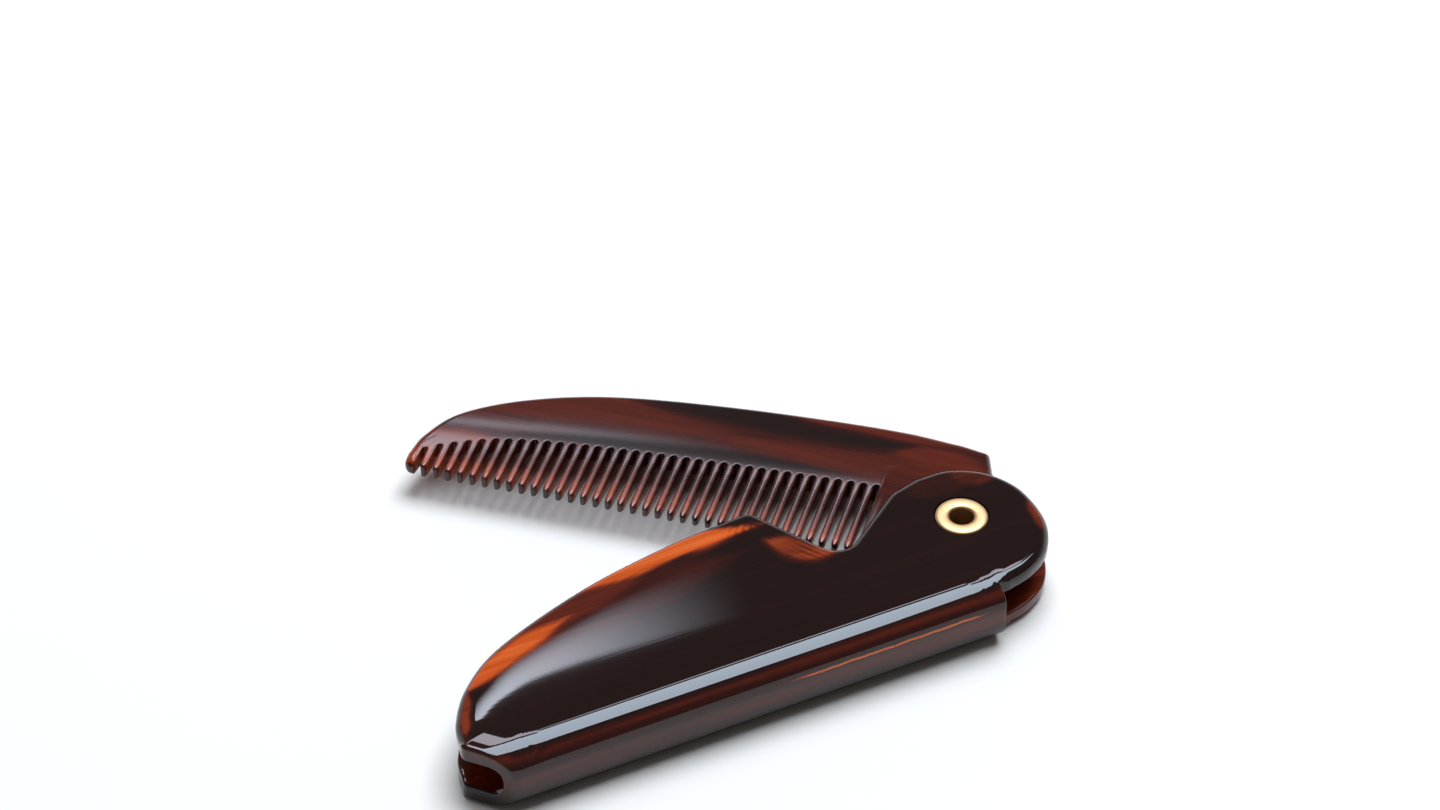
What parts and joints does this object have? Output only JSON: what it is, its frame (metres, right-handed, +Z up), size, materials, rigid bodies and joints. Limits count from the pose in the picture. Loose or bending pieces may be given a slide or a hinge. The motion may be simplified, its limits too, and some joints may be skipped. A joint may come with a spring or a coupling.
{
  "type": "folding pocket comb",
  "caption": "Folding pocket comb with fine teeth and an arched back, swinging on a tubular eyelet in a folded slotted case with a finger notch, lying part open.",
  "frame": {"origin": "centre of the whole part's box in plan, at the height of the surface that the case lies on, with the comb part open as in the picture", "axes": "+X along the case's spine towards the pivot, +Y from the spine towards the open edge and the comb, +Z up through the covers along the pivot"},
  "size_m": [0.0748, 0.058, 0.0083],
  "materials": {
    "dark_tortoiseshell": "hand-polished cellulose acetate, near black with amber and red streaks",
    "red_tortoiseshell": "hand-polished cellulose acetate, deep red with dark streaks",
    "brass": "bright rolled pale brass"
  },
  "bodies": {
    "handle": {"case": "dark_tortoiseshell", "eyelet": "brass"},
    "blade": {"comb": "red_tortoiseshell"}
  },
  "joints": [
    {"name": "comb_pivot", "type": "hinge", "parent": "handle", "child": "blade", "pos_m": [0.02766, -0.01591, 0.0041], "axis": [0, 0, 1], "range_deg": [-134, 43.4]}
  ]
}
